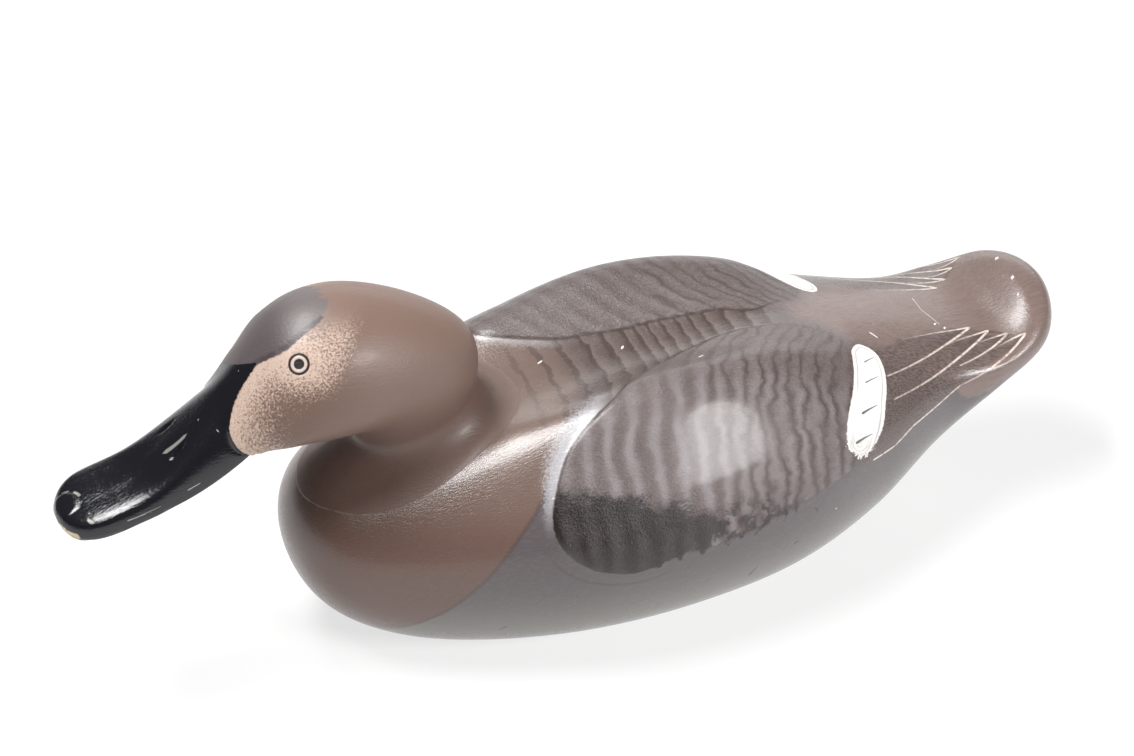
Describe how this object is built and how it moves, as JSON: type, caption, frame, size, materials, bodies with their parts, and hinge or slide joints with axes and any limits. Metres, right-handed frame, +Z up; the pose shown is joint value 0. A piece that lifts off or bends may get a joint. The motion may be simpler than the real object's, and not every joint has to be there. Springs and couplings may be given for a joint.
{
  "type": "duck hunting decoy",
  "caption": "Life-size canvasback duck decoy, carved in wood and painted: round body with folded wings and a flat underside, and a head with a long sloping bill glued on.",
  "frame": {"origin": "on the flat underside, below the middle of the overall length and width", "axes": "+X towards the bill, +Y to the duck's left, +Z up"},
  "size_m": [0.4301, 0.1566, 0.1641],
  "materials": {
    "painted_body": "oil paint in greys and browns with brushed and combed feathering, white wing patches and cream feather lines, under a glossy varnish, with small chips",
    "painted_head": "warm brown oil paint with a stippled cream cheek, a grey crown and a glossy black bill worn at the tip, varnished"
  },
  "bodies": {
    "root": {"body": "painted_body", "head": "painted_head"}
  },
  "joints": []
}
